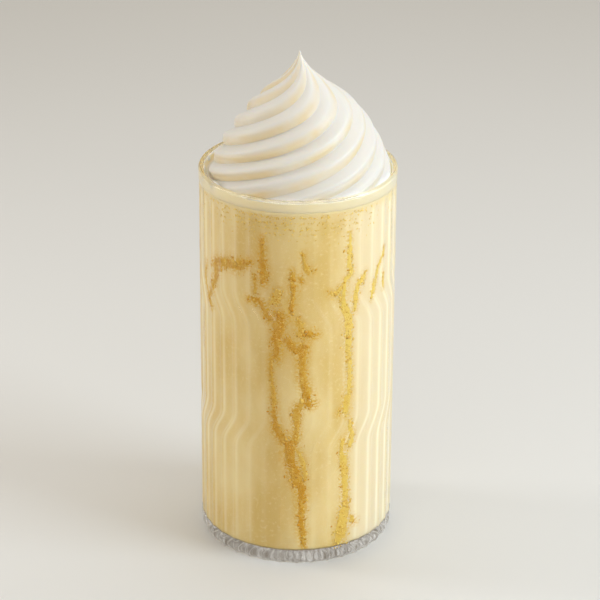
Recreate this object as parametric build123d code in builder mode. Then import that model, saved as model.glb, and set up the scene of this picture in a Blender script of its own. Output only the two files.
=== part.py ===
"""Pineapple milkshake in a tall fluted tumbler, topped with a piped swirl of whipped cream.

The tumbler is clear pressed glass with a plain lip. Its flutes run straight down, step sideways by one
flute below the mouth and step back above the base. The drink fills the bore, and the cream stands on it.
Frame: millimetres, +Z up, origin at the centre of the base where the tumbler stands, front towards -Y.
"""

import os
from math import cos, radians, sin

from build123d import *

# Tumbler
GLASS_HEIGHT = 147.0
CREST_RADIUS = 36.0  # to the ridges between the flutes
FLUTE_COUNT = 36
FLUTE_DEPTH = 0.5
LIP_PROUD = 0.2  # how far the plain lip stands out past the ridges
LIP_BAND = 3.6  # height of the plain lip
FLUTE_RUNOUT = 2.4  # height over which the flutes die out below the lip
WALL_AT_LIP = 1.9
LIP_FLAT = 0.3  # left between the roundings inside and outside the lip
BORE_TAPER = 0.8  # how much narrower the bore is at the floor than at the mouth, on the radius
FLOOR_THICKNESS = 6.2
FLOOR_CORNER = 5.0
HEEL_HEIGHT = 4.2
HEEL_INSET = 3.0
HEEL_TURNS = (90, 70, 45, 20)  # degrees round the heel, from where it stands up to its side
PUNT_RADIUS = 28.0  # the shallow hollow under the floor
PUNT_DEPTH = 1.3

# The two bands where every flute steps sideways by one flute
LOWER_STEP_START = 46.2
UPPER_STEP_START = 95.4
STEP_HEIGHT = 13.6
STEP_LEVELS = 9

# Drink
HEADSPACE = 4.6  # from the lip down to the drink's surface

# Whipped cream: a thin foot that has spread to the wall, and the swirl that stands on it
FOOT_THICKNESS = 1.6
SWIRL_HEIGHT = 46.4
SWIRL_WALL_GAP = 1.2  # between the bore and a swirl that would stand in its middle
SWIRL_OFFSET = 0.8  # of the swirl's foot, towards +X
SWIRL_LEAN = 1.0  # how much further its middle leans over than its foot and its tip
LOBE_COUNT = 9
LOBE_DEPTH = 0.1  # depth of the creases between the lobes, as a share of the swirl's radius there
SWIRL_START = 21.0  # azimuth of the first crease at the tip, from the front towards +X
SWIRL_TURN = 254.0  # degrees that a crease turns from the tip to the foot
SWIRL_TURN_POWER = 1.13  # over 1, it turns faster towards the foot
DOME_POWER = 1.56
TIP_PINCH = 0.69  # how much the top of the dome is drawn in towards the tip
PINCH_FROM = 0.56  # shares of the swirl's height where the pinch begins, and over which it grows
PINCH_OVER = 0.5
TIP_RADIUS = 0.45
SWIRL_LEVELS = 24

LIP_RADIUS = CREST_RADIUS + LIP_PROUD
LIP_ROUNDING = (WALL_AT_LIP - LIP_FLAT) / 2
MOUTH_BORE = LIP_RADIUS - WALL_AT_LIP
FLOOR_BORE = MOUTH_BORE - BORE_TAPER
BAND_BOTTOM = GLASS_HEIGHT - LIP_BAND
RUNOUT_BOTTOM = BAND_BOTTOM - FLUTE_RUNOUT
LOWER_STEP_END = LOWER_STEP_START + STEP_HEIGHT
UPPER_STEP_END = UPPER_STEP_START + STEP_HEIGHT
FLUTE_PITCH = 360.0 / FLUTE_COUNT
FILL_LEVEL = GLASS_HEIGHT - HEADSPACE
FOOT_TOP = FILL_LEVEL + FOOT_THICKNESS
SWIRL_RADIUS = MOUTH_BORE - SWIRL_WALL_GAP


def smoothstep(x):
    """Rises smoothly from 0 at x = 0 to 1 at x = 1."""
    x = min(1.0, max(0.0, x))
    return x * x * (3 - 2 * x)


def around(radius, azimuth, centre_x=0.0):
    """Point at an azimuth counted in degrees from the front, towards +X."""
    angle = radians(azimuth)
    return (centre_x + radius * sin(angle), -radius * cos(angle))


def scalloped_section(level, count, cusp_radius, middle_radius, azimuth, centre_x=0.0):
    """Closed outline of equal arcs from cusp to cusp, at a level. The first cusp is at the azimuth."""
    pitch = 360.0 / count
    with BuildSketch(Plane.XY.offset(level)) as section:
        with BuildLine():
            for i in range(count):
                start = azimuth + i * pitch
                ThreePointArc(
                    around(cusp_radius, start, centre_x),
                    around(middle_radius, start + pitch / 2, centre_x),
                    around(cusp_radius, start + pitch, centre_x),
                )
        make_face()
    return section.sketch


def flute_azimuth(level):
    """Azimuth of a ridge at a level. Between the two steps it stands one flute further round."""
    lower = smoothstep((level - LOWER_STEP_START) / STEP_HEIGHT)
    upper = smoothstep((level - UPPER_STEP_START) / STEP_HEIGHT)
    return FLUTE_PITCH * (lower - upper)


def fluted_section(level, crest=CREST_RADIUS, depth=FLUTE_DEPTH):
    """Outline of the tumbler at a level: hollow flutes that meet in narrow ridges."""
    return scalloped_section(level, FLUTE_COUNT, crest, crest - depth, flute_azimuth(level))


def heel_section(turn):
    """Outline where the flutes tuck in under the tumbler, along a quarter of an ellipse."""
    level = HEEL_HEIGHT * (1 - sin(radians(turn)))
    return fluted_section(level, CREST_RADIUS - HEEL_INSET * (1 - cos(radians(turn))))


def step_sections(start):
    """Outlines up through one of the bands where the flutes step sideways."""
    rise = STEP_HEIGHT / (STEP_LEVELS - 1)
    return [fluted_section(start + i * rise) for i in range(STEP_LEVELS)]


def bore_radius(level):
    """Radius of the tapered bore at a level above its rounded corner."""
    share = (level - FLOOR_THICKNESS) / (GLASS_HEIGHT - FLOOR_THICKNESS)
    return FLOOR_BORE + BORE_TAPER * share


def bore_outline(top):
    """Half outline of what fills the bore from its floor to a level, to be turned about Z."""
    with BuildSketch(Plane.XZ) as outline:
        with BuildLine():
            wall = Polyline(
                (0, FLOOR_THICKNESS), (FLOOR_BORE, FLOOR_THICKNESS), (bore_radius(top), top)
            )
            fillet(wall.vertices().sort_by(Axis.Z)[:2].sort_by(Axis.X)[-1], FLOOR_CORNER)
            Polyline((bore_radius(top), top), (0, top), (0, FLOOR_THICKNESS))
        make_face()
    return outline.sketch


def swirl_radius(share):
    """Radius to the lobes at a share of the swirl's height: a dome drawn in to a tip."""
    dome = 1 - share**DOME_POWER
    pinch = 1 - TIP_PINCH * smoothstep((share - PINCH_FROM) / PINCH_OVER)
    return max(TIP_RADIUS, SWIRL_RADIUS * dome * pinch)


def swirl_section(share):
    """Outline of the swirl at a share of its height: round lobes that meet in sharp creases."""
    radius = swirl_radius(share)
    return scalloped_section(
        FOOT_TOP + SWIRL_HEIGHT * share,
        LOBE_COUNT,
        radius * (1 - LOBE_DEPTH),
        radius,
        SWIRL_START - SWIRL_TURN * (1 - share) ** SWIRL_TURN_POWER,
        SWIRL_OFFSET * (1 - share / 2) + SWIRL_LEAN * smoothstep(2 * min(share, 1 - share)),
    )


os.makedirs("parts", exist_ok=True)

with BuildPart() as glass:
    loft([heel_section(turn) for turn in HEEL_TURNS] + [fluted_section(HEEL_HEIGHT)])
    loft([fluted_section(HEEL_HEIGHT), fluted_section(LOWER_STEP_START)], ruled=True)
    loft(step_sections(LOWER_STEP_START))
    loft([fluted_section(LOWER_STEP_END), fluted_section(UPPER_STEP_START)], ruled=True)
    loft(step_sections(UPPER_STEP_START))
    loft([fluted_section(UPPER_STEP_END), fluted_section(RUNOUT_BOTTOM)], ruled=True)
    loft([fluted_section(RUNOUT_BOTTOM), fluted_section(BAND_BOTTOM, LIP_RADIUS, 0)], ruled=True)
    with BuildSketch(Plane.XY.offset(BAND_BOTTOM)):
        Circle(LIP_RADIUS)
    extrude(amount=LIP_BAND)
    revolve(bore_outline(GLASS_HEIGHT), Axis.Z, mode=Mode.SUBTRACT)
    fillet(glass.edges().group_by(Axis.Z)[-1], LIP_ROUNDING)
    with BuildSketch(Plane.XZ):
        with BuildLine():
            TangentArc((0, PUNT_DEPTH), (PUNT_RADIUS, 0), tangent=(1, 0))
            Polyline((PUNT_RADIUS, 0), (0, 0), (0, PUNT_DEPTH))
        make_face()
    revolve(axis=Axis.Z, mode=Mode.SUBTRACT)
glass.part.label = "glass"
export_step(glass.part, "parts/glass.step")

with BuildPart() as milkshake:
    revolve(bore_outline(FILL_LEVEL), Axis.Z)
milkshake.part.label = "milkshake"
export_step(milkshake.part, "parts/milkshake.step")

with BuildPart() as whipped_cream:
    with BuildSketch(Plane.XZ):
        with BuildLine():
            Polyline(
                (0, FILL_LEVEL),
                (bore_radius(FILL_LEVEL), FILL_LEVEL),
                (bore_radius(FOOT_TOP), FOOT_TOP),
                (0, FOOT_TOP),
                close=True,
            )
        make_face()
    revolve(axis=Axis.Z)
    loft([swirl_section(i / SWIRL_LEVELS) for i in range(SWIRL_LEVELS + 1)])
whipped_cream.part.label = "whipped_cream"
export_step(whipped_cream.part, "parts/whipped_cream.step")
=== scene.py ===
"""Looks of a pineapple milkshake: fluted tumbler, drink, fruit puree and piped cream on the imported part.

Blender units are metres. Azimuths are counted from the front (-Y) towards +X.
"""

import random
from math import cos, degrees, exp, floor, pi, radians, sin, tau

import bmesh
import bpy
from bpy.props import FloatProperty, FloatVectorProperty, IntProperty, PointerProperty
from mathutils import Euler, Matrix, Vector, kdtree, noise


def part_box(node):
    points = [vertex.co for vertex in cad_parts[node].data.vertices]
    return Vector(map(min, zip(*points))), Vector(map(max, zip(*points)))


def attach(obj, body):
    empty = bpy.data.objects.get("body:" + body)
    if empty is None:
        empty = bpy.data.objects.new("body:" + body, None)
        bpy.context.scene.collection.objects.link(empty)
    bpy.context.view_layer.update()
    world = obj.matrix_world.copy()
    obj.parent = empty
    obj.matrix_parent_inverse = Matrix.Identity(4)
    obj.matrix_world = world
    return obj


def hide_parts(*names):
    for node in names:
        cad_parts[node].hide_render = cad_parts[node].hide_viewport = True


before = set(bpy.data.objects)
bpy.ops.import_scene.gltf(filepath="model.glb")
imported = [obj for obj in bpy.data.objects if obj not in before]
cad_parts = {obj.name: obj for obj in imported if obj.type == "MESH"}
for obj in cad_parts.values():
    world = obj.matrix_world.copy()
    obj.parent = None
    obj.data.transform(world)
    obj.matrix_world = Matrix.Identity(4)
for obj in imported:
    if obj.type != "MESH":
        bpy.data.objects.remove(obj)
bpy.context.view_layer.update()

bl_info = {
    "name": "Pineapple Milkshake",
    "version": (1, 0, 0),
    "blender": (4, 5, 0),
    "location": "3D View > Sidebar > Milkshake",
    "description": "Makes a milkshake in a fluted tumbler, with fruit puree and a piped swirl of cream",
    "category": "Add Mesh",
}

MM = 0.001
GLASS_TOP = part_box("glass")[1]
SHAKE_LOW, SHAKE_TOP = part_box("milkshake")
LIP_RADIUS = GLASS_TOP[0]
GLASS_HEIGHT = GLASS_TOP[2]
FLOOR_DROP = 0.6 * MM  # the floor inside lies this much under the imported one
FLOOR_LEVEL = SHAKE_LOW[2] - FLOOR_DROP
FILL_LEVEL = SHAKE_TOP[2]
TIP_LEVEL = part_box("whipped_cream")[1][2]


def length(name, description, default, low=0.0, high=1.0):
    """A size in metres."""
    return FloatProperty(
        name=name,
        description=description,
        default=default,
        min=low,
        max=high,
        unit="LENGTH",
        precision=5,
    )


def number(name, description, default, low=0.0, high=100.0):
    """A plain number: a share, a power, a count or watts."""
    return FloatProperty(name=name, description=description, default=default, min=low, max=high)


def colour(name, description, default):
    """A colour, as linear red, green and blue."""
    return FloatVectorProperty(
        name=name,
        description=description,
        default=default,
        min=0.0,
        max=1.0,
        size=3,
        subtype="COLOR",
    )


class TumblerSettings(bpy.types.PropertyGroup):
    """Sizes and tint of the tumbler."""

    flute_count: IntProperty(name="Flutes", description="Hollow flutes round the glass", default=36, min=3)
    flute_depth: length("Flute depth", "From a ridge to the bottom of a flute", 0.5 * MM)
    ridge_rounding: number("Ridge rounding", "Share of a flute that its rounded ridges take", 0.16)
    lip_proud: length("Lip proud", "How far the plain lip stands out past the ridges", 0.2 * MM)
    lip_band: length("Lip band", "Height of the plain lip", 3.6 * MM)
    flute_runout: length("Flute run-out", "Height over which the flutes die out", 2.4 * MM)
    wall_at_lip: length("Wall at lip", "Thickness of the wall at the lip", 1.9 * MM)
    lip_flat: length("Lip flat", "Flat between the roundings of the lip", 0.3 * MM)
    bore_taper: length("Bore taper", "How much narrower the bore is at its floor", 0.8 * MM)
    floor_corner: length("Floor corner", "Radius between the floor and the bore", 1.8 * MM)
    heel_height: length("Heel height", "Height of the rounded heel", 4.2 * MM)
    heel_inset: length("Heel inset", "How far the heel tucks in", 3.0 * MM)
    punt_radius: length("Punt radius", "Radius of the hollow underneath", 28.0 * MM)
    punt_depth: length("Punt depth", "Depth of the hollow underneath", 1.3 * MM)
    foot_ripple: length("Foot ripple", "Height of the ripples under the foot", 0.9 * MM)
    lower_step: length("Lower step", "Where the flutes start to step sideways", 46.2 * MM)
    upper_step: length("Upper step", "Where the flutes start to step back", 95.4 * MM)
    step_height: length("Step height", "Height over which the flutes step sideways", 13.6 * MM)
    tint: colour("Glass", "Tint of the clear glass", (0.985, 0.992, 0.985))


class DrinkSettings(bpy.types.PropertyGroup):
    """Sizes and colours of the drink."""

    into_wall: length("Into the wall", "How far the drink reaches into the glass", 0.12 * MM)
    ridge_height: length("Ridge height", "Relief that the flutes give the drink", 0.07 * MM)
    ridge_width: length("Ridge width", "Half width of a ridge in the drink", 0.8 * MM)
    ring_rise: length("Ring rise", "Distance between the rings of the mesh", 1.0 * MM)
    body: colour("Shake", "Colour of the milkshake", (0.72, 0.535, 0.19))
    pale: colour("Pale shake", "Colour where more cream is blended in", (0.83, 0.69, 0.36))
    # Painted light: pale lines behind the ridges of the glass, standing in for the light that the ridges
    # gather onto the drink.
    ridge: colour("Ridge lines", "Colour behind the ridges of the glass", (0.95, 0.90, 0.72))
    foam: colour("Foam", "Colour of the foam under the cream", (0.79, 0.64, 0.35))
    edge: colour("Lower edge", "Shadowed line where the drink meets the floor", (0.20, 0.13, 0.06))
    # Painted light: the underside is painted near white, standing in for light that reaches it through the
    # foot.
    under: colour("Underside", "Colour of the underside, seen through the foot", (0.98, 0.95, 0.91))
    # Painted shade between the pale spots of the underside.
    under_painted_shade: colour("Underside hollows", "Colour between the froth of the underside", (0.36, 0.31, 0.25))
    under_glow: number("Underside glow", "Light that soaks through the drink to its underside", 0.25)
    # Painted light: the right side of the drink, towards the key light, is painted paler.
    creamy: colour("Creamy side", "Colour of the side where cream has run down", (0.79, 0.68, 0.47))
    deep: colour("Deep shake", "Colour where more fruit is blended in", (0.70, 0.41, 0.025))


class CreamSettings(bpy.types.PropertyGroup):
    """Shape and colours of the whipped cream."""

    lobe_count: IntProperty(name="Lobes", description="Round lobes of the swirl", default=9, min=3)
    lobe_depth: number("Lobe depth", "Depth of the creases as a share of the radius", 0.1)
    crown: number("Crown", "Where a lobe stands proudest, from its upper crease to its lower", 0.33)
    foot: length("Foot", "Thickness of the cream that has spread to the wall", 1.6 * MM)
    creep: length("Creep", "How far the foot creeps up the wall", 1.85 * MM)
    wall_gap: length("Wall gap", "Between the bore and the foot of the swirl", 1.2 * MM)
    offset: length("Offset", "How far the foot of the swirl stands to the right", 0.8 * MM)
    lean: length("Lean", "How much further the middle leans over", 1.0 * MM)
    start: number("First crease", "Azimuth of the first crease at the tip, in degrees", 21.0, -360, 360)
    turn: number("Turn", "Degrees that a crease turns from tip to foot", 254.0, 0, 1000)
    turn_power: number("Turn power", "Over 1, the creases turn faster towards the foot", 1.13)
    dome_power: number("Dome power", "How full the dome is", 1.56)
    pinch: number("Pinch", "How much the top is drawn in to the tip", 0.69)
    pinch_from: number("Pinch from", "Share of the height where the pinch begins", 0.56)
    pinch_over: number("Pinch over", "Share of the height over which it grows", 0.5)
    tip: length("Tip", "Radius of the blunt tip", 0.45 * MM)
    unevenness: number("Unevenness", "How much the lobes differ", 1.0)
    white: colour("Cream", "Colour of the lobes", (0.78, 0.775, 0.755))
    # Painted shade: a warmer, darker colour under each lobe and in its crease.
    hollow: colour("Hollows", "Warmer colour under each lobe", (0.78, 0.66, 0.43))
    stained: colour("Stained foot", "Colour of the foot, where the drink has stained it", (0.79, 0.67, 0.43))


class PureeSettings(bpy.types.PropertyGroup):
    """Sizes and colours of the puree, its pulp and the froth."""

    depth: length("Depth in the wall", "How far the middle of the puree is pressed into the wall", 0.14 * MM)
    thickness: length("Thickness", "Half thickness of the puree on the wall", 0.08 * MM)
    tuck: length("Tuck", "How far the edges of the puree are tucked into the drink", 0.045 * MM)
    grains: number("Pulp grains", "Bits of fruit pulp in a square millimetre of streak", 6.0)
    grain_size: length("Grain size", "Radius of a middling bit of pulp", 0.3 * MM)
    froth: IntProperty(name="Froth", description="Bubbles under the cream", default=1000, min=0)
    gold: colour("Puree", "Colour of the fruit puree", (0.64, 0.31, 0.0))
    light: colour("Light puree", "Colour of the thin puree", (0.87, 0.65, 0.15))
    froth_gold: colour("Froth", "Colour of the bubbles under the cream", (0.58, 0.34, 0.05))


class StageSettings(bpy.types.PropertyGroup):
    """Floor and lights."""

    floor: colour("Floor", "Colour of the floor", (0.75, 0.765, 0.78))
    key: number("Key light", "Power of the softbox on the right, in watts", 5.1, 0, 1000)
    top: number("Top light", "Power of the softbox overhead, in watts", 1.6, 0, 1000)
    rim: number("Rim light", "Power of the strip on the left, in watts", 0.95, 0, 1000)
    fill: number("Fill light", "Power of the low softbox in front, in watts", 1.1, 0, 1000)
    ambient: number("Ambient", "Strength of the light from all round", 0.5)


# Shapes


def ease(x):
    """Rises smoothly from 0 at x = 0 to 1 at x = 1."""
    x = min(1.0, max(0.0, x))
    return x * x * (3 - 2 * x)


def wobble(*place):
    """Smooth noise between about -1 and 1."""
    return noise.noise(Vector(place))


def at(radius, azimuth, height, centre_x=0.0):
    """Place at an azimuth in radians."""
    return Vector((centre_x + radius * sin(azimuth), -radius * cos(azimuth), height))


def extruded(bm, edges, loop):
    """Extrudes a closed loop. Gives the new edges, and the new vertices in the order of the old."""
    made = bmesh.ops.extrude_edge_only(bm, edges=edges)["geom"]
    fresh = {v for v in made if isinstance(v, bmesh.types.BMVert)}
    ring = [e for e in made if isinstance(e, bmesh.types.BMEdge) and fresh.issuperset(e.verts)]
    return ring, [next(o for o in (e.other_vert(v) for e in v.link_edges) if o in fresh) for v in loop]


def skin(rings, **shades):
    """Closed skin over rings of places, each extruded from the one before, with the two ends capped.

    Each named shade is kept as an attribute of the skin, with one value for each place of each ring.
    """
    bm = bmesh.new()
    for name in shades:
        bm.verts.layers.float.new(name)
    layers = [(bm.verts.layers.float[name], values) for name, values in shades.items()]
    loop = bmesh.ops.create_circle(bm, segments=len(rings[0]), radius=1.0)["verts"]
    edges = bm.edges[:]
    ends = [edges]
    for i, places in enumerate(rings):
        if i:
            edges, loop = extruded(bm, edges, loop)
        for j, (v, place) in enumerate(zip(loop, places)):
            v.co = place
            for layer, values in layers:
                v[layer] = values[i][j]
    ends.append(edges)
    for end in ends:
        cap = bmesh.ops.contextual_create(bm, geom=end)["faces"]
        bmesh.ops.poke(bm, faces=cap)
    bmesh.ops.recalc_face_normals(bm, faces=bm.faces)
    return bm


def finished(name, bm, material, slot, *nodes):
    """Makes a smooth piece from a bmesh, on the part's one body, and hides the CAD nodes that it stands for.
    """
    mesh = bpy.data.meshes.new(name)
    bm.to_mesh(mesh)
    bm.free()
    mesh.polygons.foreach_set("use_smooth", [True] * len(mesh.polygons))
    mesh.materials.append(material)
    piece = bpy.data.objects.new(name, mesh)
    bpy.context.scene.collection.objects.link(piece)
    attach(piece, "root")
    if nodes:
        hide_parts(*nodes)
    return piece


# Tumbler

FLUTE_STEPS = 10  # places round each flute
ARC_STEPS = 8  # steps round a quarter turn
STEP_RINGS = 14  # rings in each band where the flutes step sideways
RUNOUT_RINGS = 5  # rings in which the flutes die out
PUNT_SHARES = (0.15, 0.3, 0.45, 0.55, 0.63, 0.7, 0.76, 0.81, 0.86, 0.9, 0.94, 0.97, 1.0)


def flute_shares(rounding):
    """Places across a flute, from 0 to 1, closer together at its ridges."""
    crowd = 1 - rounding * 2
    return [i / FLUTE_STEPS - crowd * sin(tau * i / FLUTE_STEPS) / tau for i in range(FLUTE_STEPS)]


def flute_turn(s, level):
    """How far round the ridges stand at a level, in flutes."""
    return ease((level - s.lower_step) / s.step_height) - ease((level - s.upper_step) / s.step_height)


def fluted_ring(s, level, crest, depth):
    """Ring of the glass at a level, with flutes that are this deep between ridges of radius crest."""
    pitch = tau / s.flute_count
    turn = flute_turn(s, level)
    return [
        at(crest - depth * (1 - (2 * u - 1) ** 2), (i + u + turn) * pitch, level)
        for i in range(s.flute_count)
        for u in flute_shares(s.ridge_rounding)
    ]


def bore_radius(s, level):
    """Radius of the bore, which narrows towards its floor."""
    share = (level - FLOOR_LEVEL) / (GLASS_HEIGHT - FLOOR_LEVEL)
    return LIP_RADIUS - s.wall_at_lip - s.bore_taper * (1 - share)


def side_levels(s, low, high, steps):
    """Levels up the side, close together in the bands where the flutes step sideways."""
    levels = [low]
    for start in (s.lower_step, s.upper_step):
        levels += [start + s.step_height * i / steps for i in range(steps + 1)]
    return levels + [high]


def corner_arc(s, steps, swell=0.0):
    """(radius, level) round the corner between the floor and the bore, from the floor up."""
    radius = bore_radius(s, FLOOR_LEVEL)
    turns = [pi / 2 * i / steps for i in range(steps + 1)]
    reach = s.floor_corner + swell
    return [
        (radius - s.floor_corner + reach * sin(a), FLOOR_LEVEL + s.floor_corner - reach * cos(a))
        for a in turns
    ]


def tumbler_rings(s):
    """Rings from the middle of the foot, up the side, over the lip and down the bore to its floor."""
    crest = LIP_RADIUS - s.lip_proud
    rounding = (s.wall_at_lip - s.lip_flat) / 2
    rings = []
    for share in PUNT_SHARES:
        ring = fluted_ring(s, s.punt_depth * (1 - share**2), s.punt_radius * share, 0.0)
        for i, place in enumerate(ring):
            ripple = 0.85 + 0.5 * wobble(place.x * 140, place.y * 140, 3)
            place.z += s.foot_ripple * share * ripple * sin(pi * i / FLUTE_STEPS) ** 2
        rings.append(ring)
    for i in range(ARC_STEPS + 1):
        turn = pi / 2 * (1 - i / ARC_STEPS)
        inset = s.heel_inset * (1 - cos(turn))
        rings.append(fluted_ring(s, s.heel_height * (1 - sin(turn)), crest - inset, s.flute_depth))
    band = GLASS_HEIGHT - s.lip_band
    for level in side_levels(s, s.heel_height * 1.3, band - s.flute_runout, STEP_RINGS):
        rings.append(fluted_ring(s, level, crest, s.flute_depth))
    for i in range(1, RUNOUT_RINGS + 1):
        share = ease(i / RUNOUT_RINGS)
        level = band - s.flute_runout * (1 - i / RUNOUT_RINGS)
        rings.append(fluted_ring(s, level, crest + s.lip_proud * share, s.flute_depth * (1 - share)))
    top = GLASS_HEIGHT - rounding
    for i in range(ARC_STEPS + 1):
        turn = pi / 2 * i / ARC_STEPS
        radius = LIP_RADIUS - rounding * (1 - cos(turn))
        rings.append(fluted_ring(s, top + rounding * sin(turn), radius, 0.0))
    for i in range(ARC_STEPS + 1):
        turn = pi / 2 * (1 - i / ARC_STEPS)
        radius = LIP_RADIUS - s.wall_at_lip + rounding * (1 - cos(turn))
        rings.append(fluted_ring(s, top + rounding * sin(turn), radius, 0.0))
    for radius, level in reversed(corner_arc(s, ARC_STEPS)):
        rings.append(fluted_ring(s, level, radius, 0.0))
    for share in (0.6, 0.2):
        rings.append(fluted_ring(s, FLOOR_LEVEL, bore_radius(s, FLOOR_LEVEL) * share, 0.0))
    return rings


class MILKSHAKE_OT_tumbler(bpy.types.Operator):
    """Presses the clear tumbler, with flutes that step sideways"""

    bl_idname = "milkshake.tumbler"
    bl_label = "Tumbler"

    def execute(self, context):
        s = context.scene.milkshake_tumbler
        finished("tumbler", skin(tumbler_rings(s)), clear_glass(s), "clear_glass", "glass")
        return {"FINISHED"}


# Puree: each streak is (richness, [(azimuth in degrees, height in mm, half width in mm), ...])

STREAKS = (
    (0.8, [(-61, 115, 0.8), (-55, 117, 1.8), (-49, 118, 2.0), (-44, 119, 2.2), (-39, 119, 2.5),
           (-34, 120, 2.0), (-28, 122, 0.9)]),
    (0.7, [(-56, 116, 1.8), (-58, 110, 1.5), (-62, 105, 1.2), (-66, 100, 1.1), (-62, 97, 0.7)]),
    (0.4, [(-69, 114, 0.5), (-71, 108, 0.6), (-68, 103, 0.5), (-63, 101, 0.5)]),
    (0.4, [(-76, 92, 0.4), (-77, 84, 0.5), (-76, 78, 0.3)]),
    (0.8, [(-21, 132, 0.5), (-21, 127, 0.9), (-21, 123, 1.2), (-20, 118, 1.5), (-21, 114, 1.4)]),
    (0.6, [(-26, 117, 0.5), (-26, 113, 0.7), (-25, 109, 0.9)]),
    (1.0, [(-29, 107, 0.9), (-26, 107, 1.6), (-23, 107, 1.2), (-20, 105, 0.8), (-18, 102, 1.4),
           (-14, 100, 1.6)]),
    (0.4, [(-17, 106, 0.7), (-13, 109, 1.4), (-11, 112, 1.2), (-12, 106, 1.3)]),
    (1.0, [(-12, 104, 1.1), (-8, 102, 1.7), (-6, 101, 1.0)]),
    (1.0, [(-11, 102, 1.9), (-11, 97, 2.1), (-12, 92, 1.9), (-12, 88, 1.6), (-12, 84, 1.0)]),
    (0.7, [(-15, 86, 0.7), (-16, 81, 0.7), (-15, 76, 0.6), (-14, 70, 1.0), (-14, 64, 0.9)]),
    (0.9, [(-14, 65, 0.9), (-13, 60, 1.1), (-12, 56, 1.6), (-9, 53, 1.6), (-6, 50, 1.5)]),
    (0.6, [(3, 127, 0.4), (4, 123, 0.6), (6, 120, 1.3), (9, 120, 0.7)]),
    (0.9, [(2, 118, 0.5), (2, 115, 0.7)]),
    (0.8, [(-3, 120, 0.5), (-3, 116, 1.1), (-2, 112, 0.9), (-3, 107, 0.8), (-4, 103, 0.5)]),
    (0.6, [(0, 101, 0.8), (2, 98, 1.4), (1, 95, 1.2), (4, 93, 1.2)]),
    (1.0, [(5, 95, 0.7), (9, 95, 1.6), (12, 95, 0.8)]),
    (1.0, [(-6, 94, 0.7), (-4, 91, 1.5), (0, 89, 2.0), (3, 89, 2.2), (5, 91, 1.3)]),
    (0.8, [(3, 90, 2.2), (3, 85, 1.7), (3, 80, 1.4), (4, 76, 1.7), (6, 72, 1.8), (7, 68, 1.5)]),
    (1.0, [(5, 67, 1.1), (8, 67, 1.6), (10, 67, 1.1)]),
    (0.8, [(5, 68, 1.1), (1, 66, 1.3), (0, 62, 1.4), (0, 58, 1.0), (-1, 53, 1.4), (-3, 50, 2.0)]),
    (1.0, [(-5, 52, 2.0), (-4, 48, 2.8), (-3, 44, 2.4), (-1, 40, 2.2), (0, 36, 2.2), (2, 32, 1.7)]),
    (1.0, [(2, 34, 1.8), (3, 29, 1.6), (3, 24, 1.4), (3, 18, 1.1), (4, 14, 1.2), (4, 10, 0.7),
           (5, 7, 0.5)]),
    (0.5, [(0, 49, 0.7), (3, 44, 1.1), (5, 40, 0.9), (5, 35, 0.7)]),
    # These streaks on the right side, towards the key light, are given low richness, so they are paler:
    # partly thinner puree, partly painted light.
    (0.2, [(32, 133, 0.5), (32, 127, 1.1), (32, 121, 0.9), (33, 117, 1.4), (30, 115, 0.9),
           (29, 110, 1.1), (28, 106, 1.2)]),
    (0.35, [(19, 111, 0.8), (22, 110, 1.3), (25, 111, 1.2), (28, 113, 0.8)]),
    (0.2, [(27, 108, 1.2), (30, 103, 1.9), (32, 99, 2.2), (32, 94, 1.8), (32, 87, 1.3),
           (33, 80, 1.2), (33, 73, 1.2), (33, 68, 1.5)]),
    (0.35, [(32, 69, 1.3), (31, 64, 1.7), (31, 60, 1.0)]),
    (0.3, [(27, 63, 0.8), (26, 61, 1.1)]),
    (0.25, [(34, 58, 0.7), (35, 54, 1.2), (36, 50, 1.1), (33, 46, 1.3)]),
    (0.35, [(30, 51, 1.1), (29, 46, 1.2), (30, 41, 1.6), (31, 36, 1.6), (31, 30, 1.3),
            (32, 24, 1.6)]),
    (0.4, [(32, 25, 1.6), (31, 20, 2.0), (30, 16, 2.2), (29, 12, 2.5), (28, 9, 2.3), (25, 7, 1.2)]),
    (0.45, [(36, 17, 0.9), (39, 14, 1.4)]),
    (0.2, [(36, 101, 0.8), (37, 106, 1.1), (39, 111, 1.2), (41, 113, 1.4), (45, 116, 0.6)]),
    (0.2, [(63, 122, 0.5), (60, 118, 0.7), (56, 115, 0.8), (54, 112, 1.2), (52, 109, 1.1),
           (50, 103, 0.5)]),
    (0.2, [(62, 112, 0.5), (62, 105, 0.5)]),
    (0.8, [(104, 118, 1.2), (109, 120, 2.0), (115, 119, 2.2), (120, 121, 1.3)]),
    (0.8, [(112, 118, 1.4), (109, 111, 1.2), (111, 103, 1.7), (115, 96, 1.3), (114, 86, 1.0),
           (117, 74, 1.1), (116, 63, 0.9)]),
    (1.0, [(131, 112, 1.0), (127, 105, 1.8), (121, 99, 1.9), (117, 94, 1.5)]),
    (0.5, [(149, 121, 0.8), (154, 112, 1.3), (151, 102, 1.1), (155, 92, 0.7)]),
    (1.0, [(176, 119, 0.8), (171, 110, 1.7), (173, 100, 2.3), (178, 91, 1.7), (176, 79, 1.1)]),
    (0.8, [(177, 80, 1.1), (179, 64, 1.2), (175, 49, 1.8), (178, 34, 1.4), (176, 19, 1.6),
           (178, 9, 1.0)]),
    (0.6, [(197, 109, 0.9), (191, 104, 1.5), (182, 99, 1.6)]),
    (0.6, [(221, 124, 0.7), (226, 113, 1.4), (223, 102, 1.6), (229, 91, 1.1), (227, 78, 1.2),
           (224, 66, 0.9)]),
    (0.9, [(268, 114, 1.1), (262, 117, 2.0), (254, 119, 2.2), (247, 117, 1.4), (243, 110, 0.9)]),
    (0.5, [(262, 115, 1.3), (264, 105, 1.1), (261, 94, 1.0), (265, 82, 0.6)]),
)
PATH_STEP = 0.5 * MM
RIBBON_SIDES = 12
THINNEST = 0.2 * MM  # half width of a streak where it is thinnest


def unrolled(s, azimuth, height):
    """Place on the unrolled wall, in metres."""
    return Vector((radians(azimuth) * bore_radius(s, height * MM), height * MM))


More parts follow.
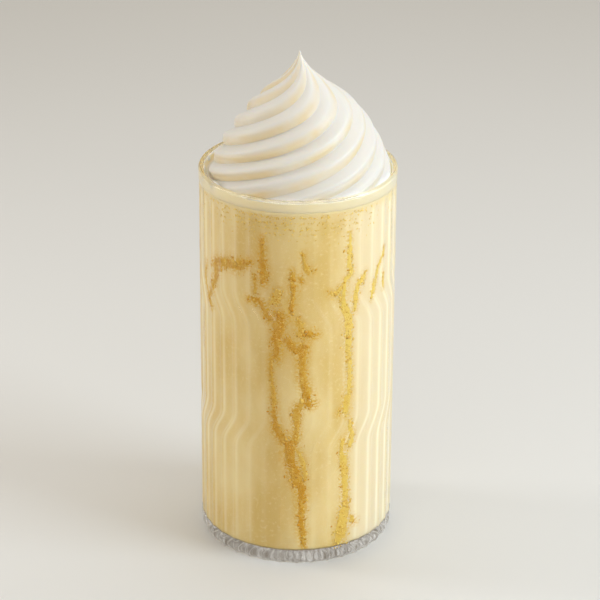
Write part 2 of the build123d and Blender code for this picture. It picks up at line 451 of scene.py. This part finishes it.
def streak_path(s, points):
    """[(place on the unrolled wall, half width), ...] in even steps on a smooth line through the points."""
    p = [Vector((*unrolled(s, azimuth, height), half * MM)) for azimuth, height, half in points]
    p = [2 * p[0] - p[1]] + p + [2 * p[-1] - p[-2]]
    path = []
    for a, b, c, d in zip(p, p[1:], p[2:], p[3:]):
        steps = max(2, round((c - b).length / PATH_STEP))
        for i in range(steps):
            t = i / steps
            spot = 2 * b + (c - a) * t
            spot += (2 * a - 5 * b + 4 * c - d) * t**2
            spot += (3 * b - a - 3 * c + d) * t**3
            path.append((spot.xy / 2, max(THINNEST, spot.z / 2)))
    return path


def on_wall(s, flat, lift):
    """Place on the wall of the bore from a place on the unrolled wall."""
    radius = bore_radius(s, flat.y)
    return at(radius + lift, flat.x / radius, flat.y)


def ribbon(s, p, bm, layer, number, richness, points):
    """Adds one flat streak of puree with ragged edges, as a closed tube."""
    path = streak_path(s, points)
    loop = bmesh.ops.create_circle(bm, segments=RIBBON_SIDES, radius=1.0)["verts"]
    edges = list({e for v in loop for e in v.link_edges})
    ends = [edges]
    for i, (place, half) in enumerate(path):
        if i:
            edges, loop = extruded(bm, edges, loop)
        along = (path[min(i + 1, len(path) - 1)][0] - path[max(i - 1, 0)][0]).normalized()
        across = Vector((along.y, -along.x))
        taper = min(1.0, 0.25 + 0.4 * min(i, len(path) - 1 - i) ** 0.6)
        for j, v in enumerate(loop):
            angle = tau * j / RIBBON_SIDES
            side = number * 7 + 3 * round(cos(angle))
            ragged = 0.95 + 0.65 * wobble(place.x * 600, place.y * 600, side)
            ragged += 0.35 * wobble(place.x * 1300, place.y * 1300, side + 50)
            reach = 0.95 * half * taper * max(0.15, ragged) * cos(angle)
            lift = p.depth + p.thickness * taper * sin(angle) - p.tuck * cos(angle) ** 2
            v.co = on_wall(s, place + across * reach, lift)
            v[layer] = richness * (1 - 0.5 * abs(cos(angle)) ** 3)
    ends.append(edges)
    for end in ends:
        bmesh.ops.contextual_create(bm, geom=end)


class MILKSHAKE_OT_puree(bpy.types.Operator):
    """Streaks the inside of the wall with fruit puree"""

    bl_idname = "milkshake.puree"
    bl_label = "Puree streaks"

    def execute(self, context):
        s, p = context.scene.milkshake_tumbler, context.scene.milkshake_puree
        bm = bmesh.new()
        layer = bm.verts.layers.float.new("body")
        for number, (richness, points) in enumerate(STREAKS):
            ribbon(s, p, bm, layer, number, richness, points)
        bmesh.ops.recalc_face_normals(bm, faces=bm.faces)
        finished("puree_streaks", bm, fruit_puree(p), "pineapple_puree")
        return {"FINISHED"}


GRAIN_TILT = 0.05  # radians, either way
BATCH = 150  # grains


def grain(bm, layer, place, size, flatness, shade, chance):
    """Adds one squashed bit, flat against the wall."""
    long, wide = size * chance.uniform(0.7, 1.5), size * chance.uniform(0.6, 1.2)
    stretch = Matrix.Diagonal((long, wide, size * flatness, 1))
    tilt = chance.uniform(-GRAIN_TILT, GRAIN_TILT), chance.uniform(-GRAIN_TILT, GRAIN_TILT)
    spin = Euler((*tilt, chance.uniform(0, tau))).to_matrix()
    facing = Vector((place.x, place.y, 0)).to_track_quat("Z", "Y").to_matrix()
    matrix = Matrix.Translation(place) @ facing.to_4x4() @ spin.to_4x4() @ stretch
    for v in bmesh.ops.create_icosphere(bm, subdivisions=1, radius=1.0, matrix=matrix)["verts"]:
        v[layer] = shade


def scattered(grains, flatness, chance):
    """One bmesh of (place, size, shade) grains, made a batch at a time because that is quicker."""
    whole = bmesh.new()
    for start in range(0, len(grains), BATCH):
        batch = bmesh.new()
        layer = batch.verts.layers.float.new("shade")
        for place, size, shade in grains[start : start + BATCH]:
            grain(batch, layer, place, size, flatness, shade, chance)
        mesh = bpy.data.meshes.new("batch")
        batch.to_mesh(mesh)
        batch.free()
        whole.from_mesh(mesh)
        bpy.data.meshes.remove(mesh)
    return whole


class MILKSHAKE_OT_pulp(bpy.types.Operator):
    """Scatters bits of fruit pulp along the streaks"""

    bl_idname = "milkshake.pulp"
    bl_label = "Pulp grains"

    def execute(self, context):
        s, p = context.scene.milkshake_tumbler, context.scene.milkshake_puree
        chance = random.Random(7)
        grains = []
        for richness, points in STREAKS:
            for spot, half in streak_path(s, points):
                for _ in range(int(p.grains * half / MM * PATH_STEP / MM + chance.random())):
                    stray = half * 0.55 + 0.2 * MM
                    away = Vector((chance.gauss(0, stray), chance.gauss(0, stray)))
                    lift = p.depth + p.thickness * max(0.0, 1 - (away.length / half) ** 2) - 0.03 * MM
                    size = p.grain_size * chance.lognormvariate(0, 0.35)
                    shade = min(1.0, max(0.0, chance.gauss(1 - richness * 0.85, 0.3)))
                    grains.append((on_wall(s, spot + away, lift), size, shade))
        bm = scattered(grains, 0.2, chance)
        finished("pulp_grains", bm, pulp(p), "pineapple_puree")
        return {"FINISHED"}


FROTH_ROW = 2.1  # mm between the rows in which the bubbles gather


class MILKSHAKE_OT_froth(bpy.types.Operator):
    """Dots the drink under the cream with bubbles"""

    bl_idname = "milkshake.froth"
    bl_label = "Froth"

    def execute(self, context):
        s, p = context.scene.milkshake_tumbler, context.scene.milkshake_puree
        chance = random.Random(11)
        grains = []
        for _ in range(p.froth):
            azimuth = chance.gauss(-8, 26) if chance.random() < 0.4 else chance.uniform(-180, 180)
            row = 2.2 + FROTH_ROW * floor(abs(chance.gauss(0, 2.2))) + chance.gauss(0, 0.35)
            flat = unrolled(s, azimuth, FILL_LEVEL / MM - row)
            grains.append((on_wall(s, flat, 0.14 * MM), chance.uniform(0.13, 0.34) * MM, chance.random()))
        bm = scattered(grains, 0.5, chance)
        finished("froth_bubbles", bm, froth(p), "pineapple_puree")
        return {"FINISHED"}


# Drink


def drink_ring(s, d, level, radius, relief):
    """[(place, strength of the painted light line behind a ridge), ...] round the drink, which swells behind
    each ridge of the glass. The painted light lines stand in for light that the ridges gather, and are
    strongest at the left and right sides.
    """
    pitch = tau / s.flute_count
    turn = flute_turn(s, level)
    ring = []
    for i in range(s.flute_count):
        for u in flute_shares(s.ridge_rounding):
            away = min(u, 1 - u) * pitch * radius / d.ridge_width
            ridge = relief * exp(-away * away)
            azimuth = (i + u + turn) * pitch
            ring.append((at(radius + d.ridge_height * ridge, azimuth, level), ridge * sin(azimuth) ** 2))
    return ring


def drink_rings(s, d):
    """Rings from the middle of the underside, up the wall and in over the top."""
    low = FLOOR_LEVEL - d.into_wall
    radius = bore_radius(s, FLOOR_LEVEL)
    rings = [drink_ring(s, d, low, radius * share, 0.0) for share in (0.2, 0.5)]
    for r, level in corner_arc(s, ARC_STEPS, d.into_wall):
        rings.append(drink_ring(s, d, level, r, ease((level - FLOOR_LEVEL) / s.floor_corner - 0.3)))
    base = FLOOR_LEVEL + s.floor_corner
    count = round((FILL_LEVEL - base) / d.ring_rise)
    for i in range(1, count + 1):
        level = base + (FILL_LEVEL - base) * i / count
        relief = ease((FILL_LEVEL - level) / (4 * MM))
        rings.append(drink_ring(s, d, level, bore_radius(s, level) + d.into_wall, relief))
    radius = bore_radius(s, FILL_LEVEL)
    return rings + [drink_ring(s, d, FILL_LEVEL, radius * share, 0.0) for share in (0.97, 0.5, 0.1)]


def near_puree(s, rings):
    """For each place, how much of the puree has bled into the drink there, from 0 to 1."""
    spots = [(*spot, richness) for richness, points in STREAKS for spot in streak_path(s, points)]
    tree = kdtree.KDTree(len(spots))
    for i, (place, _, _) in enumerate(spots):
        tree.insert((place.x, place.y, 0), i)
    tree.balance()
    shades = []
    for ring in rings:
        row = []
        for place in ring:
            azimuth = Vector((0, -1)).angle_signed(Vector((place.x, place.y)), 0.0)
            flats = [(azimuth + turn) * -bore_radius(s, place.z) for turn in (0, tau, -tau)]
            near = min((tree.find((x, place.z, 0))[1:] for x in flats), key=lambda found: found[1])
            _, half, richness = spots[near[0]]
            row.append((0.35 + 0.65 * richness) * exp(-((near[1] / (half * 1.1 + 1.0 * MM)) ** 2)))
        shades.append(row)
    return shades


def creamy_side(rings):
    """For each place, how much paler the drink is painted there, from 0 to 1: painted light on its right
    side, towards the key light.
    """
    shades = []
    for ring in rings:
        row = []
        for place in ring:
            azimuth = -degrees(Vector((0, -1)).angle_signed(Vector((place.x, place.y)), 0.0))
            azimuth += 8 * wobble(place.x * 60, place.y * 60, place.z * 25)
            row.append(ease((azimuth - 20) / 32) * (1 - ease((azimuth - 112) / 40)))
        shades.append(row)
    return shades


class MILKSHAKE_OT_drink(bpy.types.Operator):
    """Pours the milkshake, which reaches just into the wall"""

    bl_idname = "milkshake.drink"
    bl_label = "Milkshake"

    def execute(self, context):
        s, d = context.scene.milkshake_tumbler, context.scene.milkshake_drink
        surface = drink_rings(s, d)
        rings = [[place for place, _ in ring] for ring in surface]
        # Strength of the painted light lines behind the ridges.
        ridges = [[ridge for _, ridge in ring] for ring in surface]
        bm = skin(rings, fruit=near_puree(s, rings), ridge=ridges, creamy=creamy_side(rings))
        shake = finished("blended_milkshake", bm, blended_shake(d), "milkshake", "milkshake")
        shake.data.materials.append(shake_underside(d))
        for face in shake.data.polygons:
            face.material_index = int(face.center.z < FLOOR_LEVEL)
        return {"FINISHED"}


# Cream

LOBE_STEPS = 20  # places round each lobe
SWIRL_RINGS = 150
ABOVE_CROWN = 1.35  # how sharply a lobe falls away above its crown
BELOW_CROWN = 1.9  # and below it


def swirl_ring(s, c, share):
    """(places, depths in the creases) round the swirl at a share of its height. The depths are painted
    shade: each lobe is painted warmer and darker from about its crown down to the crease below.
    """
    base = FILL_LEVEL + c.foot
    level = base + (TIP_LEVEL - base) * share
    pinch = 1 - c.pinch * ease((share - c.pinch_from) / c.pinch_over)
    radius = (LIP_RADIUS - s.wall_at_lip - c.wall_gap) * (1 - share**c.dome_power) * pinch
    radius = max(radius, c.tip * min(1.0, (1 - share) * 40 + 0.2) ** 0.5)
    turned = radians(c.start - c.turn * (1 - share) ** c.turn_power)
    centre = c.offset * (1 - share / 2) + c.lean * ease(2 * min(share, 1 - share))
    places, depths = [], []
    for lobe in range(c.lobe_count):
        for k in range(LOBE_STEPS):
            u = k / LOBE_STEPS - 0.35 * sin(2 * tau * k / LOBE_STEPS) / (2 * tau)
            uneven = c.unevenness * (1 - share)
            after = (lobe + 1) % c.lobe_count
            drift = (1 - u) * wobble(lobe * 5.3, share * 4, 1) + u * wobble(after * 5.3, share * 4, 1)
            bulge = 1 + 0.35 * uneven * wobble(lobe * 3.7, share * 5, 9)
            crown = c.crown + 0.08 * uneven * wobble(lobe * 2.9, share * 4, 5)
            if u < crown:
                valley = (1 - u / crown) ** ABOVE_CROWN
            else:
                valley = ((u - crown) / (1 - crown)) ** BELOW_CROWN
            azimuth = turned + (lobe + u) * tau / c.lobe_count + 0.09 * uneven * drift
            dip = c.lobe_depth * bulge * valley * (0.42 + 0.58 * ease(share * 2.4))
            soft = 0.012 * uneven * wobble(3 * cos(azimuth), 3 * sin(azimuth), share * 5)
            fold = sin(tau * (2.5 * u + wobble(lobe * 1.7, share * 3, 2)))
            soft += 0.005 * uneven * fold * (u * (1 - u) * 4)
            places.append(at(radius * (1 - dip + soft), azimuth, level, centre))
            # Painted shade, from about the crown of the lobe down to the crease below.
            depths.append(0.74 * ease((u - crown * 0.8) / 0.5))
    return places, depths


def cream_rings(s, d, c):
    """(rings, depths) from the drink up the foot and the swirl to the tip. The depths hold the drink's stain
    on the foot and the painted shade under each lobe.
    """
    count = c.lobe_count * LOBE_STEPS
    first, _ = swirl_ring(s, c, 0.0)
    bore = bore_radius(s, FILL_LEVEL) + d.into_wall
    start = -Vector((0, -1)).angle_signed(Vector((first[0].x, first[0].y)), 0.0)
    azimuths = [start + tau * i / count for i in range(count)]
    rings, depths = [], []
    for share, level in ((0.5, -0.4), (0.95, -0.4), (0.997, -0.2), (1.0, 0.0), (1.0, 0.8)):
        rings.append([at(bore * share, a, FILL_LEVEL + level * MM) for a in azimuths])
    for inset, rise in ((0.0, 0.85), (0.0, 0.95), (0.2, 1.0), (0.45, 0.75), (0.7, 0.1)):
        ring = []
        for a in azimuths:
            creep = c.creep * (0.92 + 0.14 * wobble(2 * cos(a), 2 * sin(a), 4))
            creep += 0.1 * c.creep * wobble(7 * cos(a), 7 * sin(a), 7)
            ring.append(at(bore - inset * MM, a, FILL_LEVEL + c.foot + rise * creep))
        rings.append(ring)
    stains = (1, 1, 1, 1, 0.97, 0.95, 0.9, 0.8, 0.75, 0.78)
    depths = [[stain] * count for stain in stains]
    for i in range(SWIRL_RINGS + 1):
        places, valleys = swirl_ring(s, c, i / SWIRL_RINGS)
        rings.append(places)
        depths.append(valleys)
    return rings, depths


class MILKSHAKE_OT_cream(bpy.types.Operator):
    """Pipes the swirl of whipped cream"""

    bl_idname = "milkshake.cream"
    bl_label = "Whipped cream"

    def execute(self, context):
        scene = context.scene
        rings, depths = cream_rings(scene.milkshake_tumbler, scene.milkshake_drink, scene.milkshake_cream)
        bm = skin(rings, hollow=depths)
        finished("piped_cream", bm, whipped(scene.milkshake_cream), "whipped_cream", "whipped_cream")
        return {"FINISHED"}


# Dabs of cream and puree left on the wall above the drink:
# (azimuth in degrees, height, half width, half height and thickness in mm)

CREAM_DABS = (
    (-61, 145.0, 2.6, 1.3, 1.9),
    (-73, 144.9, 1.8, 0.7, 0.8),
    (-82, 145.6, 1.2, 0.4, 0.4),
    (-91, 144.8, 2.4, 0.9, 0.8),
    (-97, 145.9, 1.0, 0.35, 0.3),
    (-106, 144.9, 1.9, 0.7, 0.7),
    (-69, 146.0, 0.9, 0.3, 0.3),
    (128, 144.8, 2.3, 0.8, 0.9),
    (203, 144.7, 1.6, 0.7, 0.8),
)
PUREE_DABS = (
    (-85, 144.7, 1.5, 0.9, 0.5),
    (-79, 144.5, 0.8, 0.6, 0.4),
    (141, 144.6, 1.0, 0.6, 0.4),
)


def dab(s, bm, azimuth, height, half_width, half_height, thickness):
    """Adds one uneven blob that clings to the wall and reaches just into it."""
    middle = unrolled(s, azimuth, height)
    for v in bmesh.ops.create_icosphere(bm, subdivisions=4, radius=1.0)["verts"]:
        x, y, z = v.co
        swell = 1 + 0.3 * wobble(x * 1.7 + azimuth, y * 1.7, z * 1.7)
        flat = middle + Vector((x * half_width, y * half_height)) * swell * MM
        v.co = on_wall(s, flat, 0.12 * MM - (z + 1) / 2 * thickness * swell * MM)


class MILKSHAKE_OT_dabs(bpy.types.Operator):
    """Leaves dabs of cream and puree on the wall inside the rim"""

    bl_idname = "milkshake.dabs"
    bl_label = "Dabs inside the rim"

    def execute(self, context):
        scene = context.scene
        s = scene.milkshake_tumbler
        cream, fruit = whipped(scene.milkshake_cream), fruit_puree(scene.milkshake_puree)
        kinds = (
            ("cream_dabs", CREAM_DABS, cream, "whipped_cream"),
            ("puree_dabs", PUREE_DABS, fruit, "pineapple_puree"),
        )
        for name, dabs, material, slot in kinds:
            bm = bmesh.new()
            for sizes in dabs:
                dab(s, bm, *sizes)
            bmesh.ops.recalc_face_normals(bm, faces=bm.faces)
            finished(name, bm, material, slot)
        return {"FINISHED"}


# Materials


def new_material(name):
    """(material, its nodes, a function that links two sockets, its Principled shader)"""
    material = bpy.data.materials.new(name)
    material.use_nodes = True
    tree = material.node_tree
    return material, tree.nodes, tree.links.new, tree.nodes["Principled BSDF"]


def noise_node(nodes, link, scale, detail=3.0, stretch=(1, 1, 1)):
    """Noise on Object coordinates. Its scale is in waves a metre."""
    coordinates = nodes.new("ShaderNodeTexCoord")
    mapping = nodes.new("ShaderNodeMapping")
    mapping.inputs["Scale"].default_value = stretch
    texture = nodes.new("ShaderNodeTexNoise")
    texture.inputs["Scale"].default_value = scale
    texture.inputs["Detail"].default_value = detail
    link(coordinates.outputs["Object"], mapping.inputs["Vector"])
    link(mapping.outputs[0], texture.inputs["Vector"])
    return texture.outputs[0]


def spread(nodes, link, value, low, high, to_low=0.0, to_high=1.0):
    """Maps a value from one range to another, clamped."""
    node = nodes.new("ShaderNodeMapRange")
    node.inputs["From Min"].default_value = low
    node.inputs["From Max"].default_value = high
    node.inputs["To Min"].default_value = to_low
    node.inputs["To Max"].default_value = to_high
    link(value, node.inputs["Value"])
    return node.outputs[0]


def mixed(nodes, link, factor, a, b):
    """Mixes two colours, each a socket or a fixed colour."""
    node = nodes.new("ShaderNodeMix")
    node.data_type = "RGBA"
    link(factor, node.inputs["Factor"])
    for value, socket in ((a, node.inputs["A"]), (b, node.inputs["B"])):
        if isinstance(value, bpy.types.NodeSocket):
            link(value, socket)
        else:
            socket.default_value = (*value, 1)
    return node.outputs["Result"]


def times(nodes, link, a, b, operation="MULTIPLY"):
    """Multiplies two values, or adds them, and clamps the result to 0 to 1."""
    node = nodes.new("ShaderNodeMath")
    node.operation = operation
    node.use_clamp = True
    link(a, node.inputs[0])
    link(b, node.inputs[1])
    return node.outputs[0]


def attribute(nodes, name):
    """Value of one of the piece's own attributes."""
    node = nodes.new("ShaderNodeAttribute")
    node.attribute_name = name
    return node.outputs["Fac"]


def bumped(nodes, link, height, distance, strength, shader):
    """Gives a shader fine relief."""
    node = nodes.new("ShaderNodeBump")
    node.inputs["Strength"].default_value = strength
    node.inputs["Distance"].default_value = distance
    link(height, node.inputs["Height"])
    link(node.outputs[0], shader.inputs["Normal"])


def clear_glass(s):
    """Clear pressed glass, faintly wavy, that lets the lamps through to what is in it."""
    material, nodes, link, shader = new_material("clear_glass")
    shader.inputs["Base Color"].default_value = (*s.tint, 1)
    shader.inputs["Roughness"].default_value = 0.01
    shader.inputs["IOR"].default_value = 1.5
    shader.inputs["Transmission Weight"].default_value = 1.0
    bumped(nodes, link, noise_node(nodes, link, 110, 1.0, (1, 1, 0.35)), 0.15 * MM, 0.25, shader)
    path = nodes.new("ShaderNodeLightPath")
    through = nodes.new("ShaderNodeBsdfTransparent")
    mix = nodes.new("ShaderNodeMixShader")
    link(path.outputs["Is Shadow Ray"], mix.inputs[0])
    link(shader.outputs[0], mix.inputs[1])
    link(through.outputs[0], mix.inputs[2])
    link(mix.outputs[0], nodes["Material Output"].inputs["Surface"])
    return material


def blended_shake(d):
    """Thick blended drink: paler and deeper patches, fruit where the puree bleeds in, cream at the top;
    painted light in pale lines behind the ridges of the glass and on the right side, and a painted shadow
    along the lower edge.
    """
    material, nodes, link, shader = new_material("blended_shake")
    shader.inputs["Specular IOR Level"].default_value = 0.1
    patches = spread(nodes, link, noise_node(nodes, link, 55, 4.0, (1, 1, 0.45)), 0.38, 0.66)
    flecks = spread(nodes, link, noise_node(nodes, link, 900, 2.0), 0.56, 0.72, 0.0, 0.5)
    body = mixed(nodes, link, patches, d.body, d.pale)
    body = mixed(nodes, link, flecks, body, d.pale)
    # Painted light: the right side of the drink is painted paler.
    creamy = spread(nodes, link, attribute(nodes, "creamy"), 0.0, 1.0, 0.0, 0.9)
    body = mixed(nodes, link, creamy, body, d.creamy)
    # Painted light: pale lines behind the ridges of the glass, faded in and out by noise.
    line = spread(nodes, link, attribute(nodes, "ridge"), 0.0, 0.9, 0.0, 0.75)
    fading = spread(nodes, link, noise_node(nodes, link, 45, 1.0, (1, 1, 0.3)), 0.35, 0.6, 0.6, 1.0)
    body = mixed(nodes, link, times(nodes, link, line, fading), body, d.ridge)
    fruit = spread(nodes, link, attribute(nodes, "fruit"), 0.05, 0.75)
    pulpy = spread(nodes, link, noise_node(nodes, link, 1300, 4.0), 0.42, 0.58, 0.15, 1.0)
    body = mixed(nodes, link, times(nodes, link, fruit, pulpy), body, d.deep)
    height = nodes.new("ShaderNodeSeparateXYZ")
    coordinates = nodes.new("ShaderNodeTexCoord")
    link(coordinates.outputs["Object"], height.inputs[0])
    top = spread(nodes, link, height.outputs["Z"], FILL_LEVEL - 5 * MM, FILL_LEVEL - 0.5 * MM)
    ragged = spread(nodes, link, noise_node(nodes, link, 260, 3.0), 0.3, 0.6, 0.5, 1.0)
    body = mixed(nodes, link, times(nodes, link, top, ragged), body, d.foam)
    # Painted shadow: a dark line low on the side, where the drink meets the floor.
    low, high = FLOOR_LEVEL + 0.35 * MM, FLOOR_LEVEL + 0.95 * MM
    edge = spread(nodes, link, height.outputs["Z"], low, high, 0.85, 0.0)
    body = mixed(nodes, link, edge, body, d.edge)
    link(body, shader.inputs["Base Color"])
    shader.inputs["Roughness"].default_value = 0.45
    shader.inputs["Subsurface Weight"].default_value = 0.3
    shader.inputs["Subsurface Radius"].default_value = (3 * MM, 2.2 * MM, 1.0 * MM)
    shader.inputs["Subsurface Scale"].default_value = 1.0
    bumped(nodes, link, noise_node(nodes, link, 1300, 2.0), 0.05 * MM, 0.3, shader)
    return material


def shake_underside(d):
    """Underside of the drink, seen through the foot: a mottle of painted light and painted shade, which also
    glows as painted light.
    """
    material, nodes, link, shader = new_material("shake_underside")
    spots = spread(nodes, link, noise_node(nodes, link, 170, 2.0), 0.38, 0.62)
    mottled = mixed(nodes, link, spots, d.under_painted_shade, d.under)
    # Painted light and shade: the mottle is both the colour and the glow of the underside, though the drink
    # is no lamp.
    link(mottled, shader.inputs["Base Color"])
    link(mottled, shader.inputs["Emission Color"])
    shader.inputs["Roughness"].default_value = 0.6
    shader.inputs["Emission Strength"].default_value = d.under_glow
    return material


def fruit_puree(p):
    """Golden puree, lighter where it is thin."""
    material, nodes, link, shader = new_material("fruit_puree")
    shader.inputs["Specular IOR Level"].default_value = 0.1
    clots = spread(nodes, link, noise_node(nodes, link, 520, 5.0), 0.36, 0.6, 0.65, 1.0)
    thick = times(nodes, link, clots, spread(nodes, link, attribute(nodes, "body"), 0.0, 0.8))
    link(mixed(nodes, link, thick, p.light, p.gold), shader.inputs["Base Color"])
    shader.inputs["Roughness"].default_value = 0.35
    shader.inputs["Subsurface Weight"].default_value = 0.2
    shader.inputs["Subsurface Radius"].default_value = (1.5 * MM, 0.8 * MM, 0.2 * MM)
    shader.inputs["Subsurface Scale"].default_value = 1.0
    bumped(nodes, link, noise_node(nodes, link, 900, 3.0), 0.04 * MM, 0.3, shader)
    return material


def pulp(p):
    """Bits of pulp, each its own gold."""
    material, nodes, link, shader = new_material("pulp")
    shader.inputs["Specular IOR Level"].default_value = 0.1
    strands = noise_node(nodes, link, 1500, 3.0)
    tone = spread(nodes, link, attribute(nodes, "shade"), 0.1, 0.9)
    shade = mixed(nodes, link, tone, p.gold, p.light)
    darker = mixed(nodes, link, spread(nodes, link, strands, 0.4, 0.8, 0.0, 0.6), shade, p.gold)
    link(darker, shader.inputs["Base Color"])
    shader.inputs["Roughness"].default_value = 0.4
    bumped(nodes, link, strands, 0.03 * MM, 0.3, shader)
    return material


def froth(p):
    """Bubbles at the wall, from pale to gold."""
    material, nodes, link, shader = new_material("froth")
    shader.inputs["Specular IOR Level"].default_value = 0.1
    film = spread(nodes, link, noise_node(nodes, link, 1800, 2.0), 0.35, 0.65, 0.0, 0.5)
    tone = times(nodes, link, attribute(nodes, "shade"), film, "ADD")
    link(mixed(nodes, link, tone, p.froth_gold, p.light), shader.inputs["Base Color"])
    shader.inputs["Roughness"].default_value = 0.3
    return material


def whipped(c):
    """Whipped cream: satin white, with painted warm shade in the creases and under each lobe, and fine air
    bubbles.
    """
    material, nodes, link, shader = new_material("whipped")
    # Painted shade under each lobe, made patchy by noise.
    valley = spread(nodes, link, attribute(nodes, "hollow"), 0.1, 0.74, 0.0, 1.0)
    patchy = spread(nodes, link, noise_node(nodes, link, 60, 3.0), 0.4, 0.62, 0.35, 1.0)
    cream = mixed(nodes, link, times(nodes, link, valley, patchy), c.white, c.hollow)
    foot = spread(nodes, link, attribute(nodes, "hollow"), 0.75, 1.0)
    link(mixed(nodes, link, foot, cream, c.stained), shader.inputs["Base Color"])
    gloss = spread(nodes, link, noise_node(nodes, link, 300, 2.0), 0.3, 0.7, 0.38, 0.52)
    link(gloss, shader.inputs["Roughness"])
    shader.inputs["Subsurface Weight"].default_value = 0.35
    shader.inputs["Subsurface Radius"].default_value = (4 * MM, 3 * MM, 1.6 * MM)
    shader.inputs["Subsurface Scale"].default_value = 1.0
    bumped(nodes, link, noise_node(nodes, link, 2200, 2.0), 0.04 * MM, 0.25, shader)
    return material


def studio_floor(t):
    """Plain pale floor."""
    material, nodes, link, shader = new_material("studio_floor")
    lighter = tuple(min(1.0, x * 1.04) for x in t.floor)
    link(mixed(nodes, link, noise_node(nodes, link, 3, 2.0), t.floor, lighter), shader.inputs["Base Color"])
    shader.inputs["Roughness"].default_value = 0.6
    return material


# Stage

CAMERA_PLACE = (0.001, -0.9148, 0.5117)
CAMERA_PITCH = 24.6
CAMERA_ROLL = 0.34
CAMERA_LENS = 162.8


def softbox(name, place, target, width, height, power, tone):
    """A rectangular area light that looks at a place."""
    light = bpy.data.lights.new(name, "AREA")
    light.shape = "RECTANGLE"
    light.size, light.size_y = width, height
    light.energy = power
    light.color = tone
    lamp = bpy.data.objects.new(name, light)
    lamp.location = place
    lamp.rotation_euler = (Vector(target) - Vector(place)).to_track_quat("-Z", "Y").to_euler()
    bpy.context.scene.collection.objects.link(lamp)


class MILKSHAKE_OT_stage(bpy.types.Operator):
    """Sets the pale floor, the soft lights and the camera"""

    bl_idname = "milkshake.stage"
    bl_label = "Stage"

    def execute(self, context):
        scene, t = context.scene, context.scene.milkshake_stage
        bm = bmesh.new()
        bmesh.ops.create_grid(bm, x_segments=2, y_segments=2, size=3.0)
        bmesh.ops.translate(bm, vec=(0, 0, -0.0001), verts=bm.verts)
        mesh = bpy.data.meshes.new("floor")
        bm.to_mesh(mesh)
        bm.free()
        mesh.materials.append(studio_floor(t))
        ground = bpy.data.objects.new("floor", mesh)
        scene.collection.objects.link(ground)

        middle = (0, 0, GLASS_HEIGHT * 0.6)
        softbox("key", (0.78, -0.30, 0.48), middle, 0.45, 0.6, t.key, (0.86, 0.945, 1.0))
        softbox("top", (0.1, 0.15, 0.8), middle, 0.6, 0.6, t.top, (1.0, 1.0, 1.0))
        softbox("rim", (-0.55, 0.1, 0.3), middle, 0.12, 0.6, t.rim, (1.0, 0.98, 0.95))
        softbox("fill", (-0.25, -0.8, 0.1), (0, 0, 0.02), 0.8, 0.16, t.fill, (1.0, 0.93, 0.82))
        scene.world = scene.world or bpy.data.worlds.new("studio")
        scene.world.use_nodes = True
        background = scene.world.node_tree.nodes["Background"]
        background.inputs["Color"].default_value = (1.0, 0.89, 0.72, 1)
        background.inputs["Strength"].default_value = t.ambient
        scene.view_settings.view_transform = "Standard"

        camera = bpy.data.cameras.new("camera")
        camera.lens = CAMERA_LENS
        camera.clip_start = 0.01
        eye = bpy.data.objects.new("camera", camera)
        eye.location = CAMERA_PLACE
        tilt = Euler((radians(90 - CAMERA_PITCH), 0, 0)).to_matrix()
        eye.rotation_euler = (tilt @ Matrix.Rotation(radians(CAMERA_ROLL), 3, "Z")).to_euler()
        scene.collection.objects.link(eye)
        scene.camera = eye
        return {"FINISHED"}


class MILKSHAKE_PT_panel(bpy.types.Panel):
    """Lists the pieces of the milkshake and their sizes"""

    bl_label = "Milkshake"
    bl_idname = "MILKSHAKE_PT_panel"
    bl_space_type = "VIEW_3D"
    bl_region_type = "UI"
    bl_category = "Milkshake"

    def draw(self, context):
        for operator, group in STEPS:
            box = self.layout.box()
            box.operator(operator.bl_idname)
            settings = getattr(context.scene, group)
            for name in settings.__annotations__:
                box.prop(settings, name)


STEPS = (
    (MILKSHAKE_OT_tumbler, "milkshake_tumbler"),
    (MILKSHAKE_OT_drink, "milkshake_drink"),
    (MILKSHAKE_OT_puree, "milkshake_puree"),
    (MILKSHAKE_OT_pulp, "milkshake_puree"),
    (MILKSHAKE_OT_froth, "milkshake_puree"),
    (MILKSHAKE_OT_cream, "milkshake_cream"),
    (MILKSHAKE_OT_dabs, "milkshake_cream"),
    (MILKSHAKE_OT_stage, "milkshake_stage"),
)
GROUPS = {
    "milkshake_tumbler": TumblerSettings,
    "milkshake_drink": DrinkSettings,
    "milkshake_puree": PureeSettings,
    "milkshake_cream": CreamSettings,
    "milkshake_stage": StageSettings,
}
OPERATORS = tuple(operator for operator, _ in STEPS)


def register():
    """Adds the settings, the operators and the panel."""
    for cls in (*GROUPS.values(), *OPERATORS, MILKSHAKE_PT_panel):
        bpy.utils.register_class(cls)
    for name, group in GROUPS.items():
        setattr(bpy.types.Scene, name, PointerProperty(type=group))


def unregister():
    """Takes them away again."""
    for name in GROUPS:
        delattr(bpy.types.Scene, name)
    for cls in (MILKSHAKE_PT_panel, *OPERATORS, *GROUPS.values()):
        bpy.utils.unregister_class(cls)


def main():
    """Makes every piece in order."""
    register()
    bpy.ops.milkshake.tumbler()
    bpy.ops.milkshake.drink()
    bpy.ops.milkshake.puree()
    bpy.ops.milkshake.pulp()
    bpy.ops.milkshake.froth()
    bpy.ops.milkshake.cream()
    bpy.ops.milkshake.dabs()
    bpy.ops.milkshake.stage()


if __name__ == "__main__":
    main()
